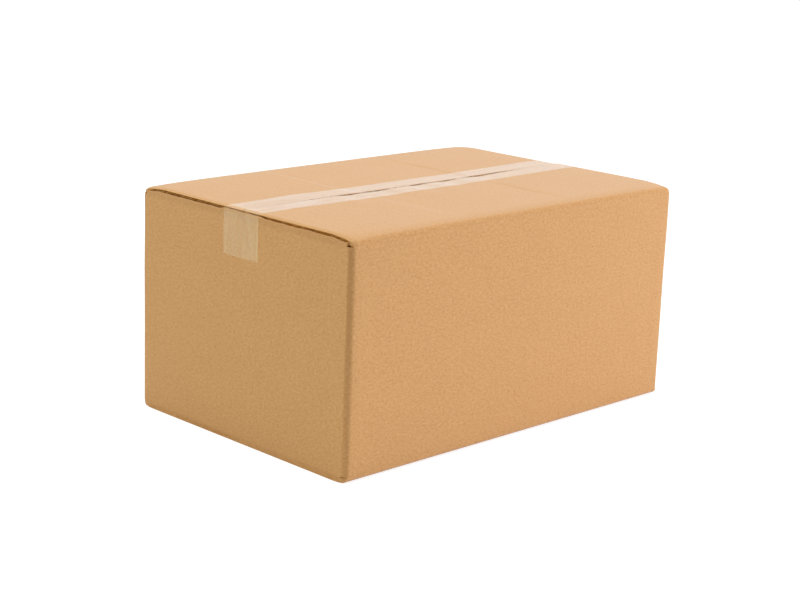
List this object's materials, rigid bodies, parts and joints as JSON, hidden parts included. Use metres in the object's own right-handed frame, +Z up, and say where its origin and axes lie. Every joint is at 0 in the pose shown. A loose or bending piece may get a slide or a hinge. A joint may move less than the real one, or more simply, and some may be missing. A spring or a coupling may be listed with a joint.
{
  "type": "corrugated shipping box, slotted carton taped shut",
  "caption": "Small rectangular shipping box folded from one sheet of brown corrugated board, closed and sealed along its top seam with clear tape.",
  "frame": {"origin": "centre of the bottom face, on the surface that the box stands on", "axes": "+X along the long panels, +Y along the short panels, +Z up through the taped top; the two panels in the picture are the ones at -X and -Y"},
  "size_m": [0.2288, 0.1524, 0.1144],
  "materials": {
    "kraft_board": "matte brown kraft liner with fine fibre mottling",
    "clear_tape": "translucent milky packing tape with a soft sheen"
  },
  "bodies": {
    "root": {"carton": "kraft_board", "top_tape": "clear_tape"}
  },
  "joints": []
}
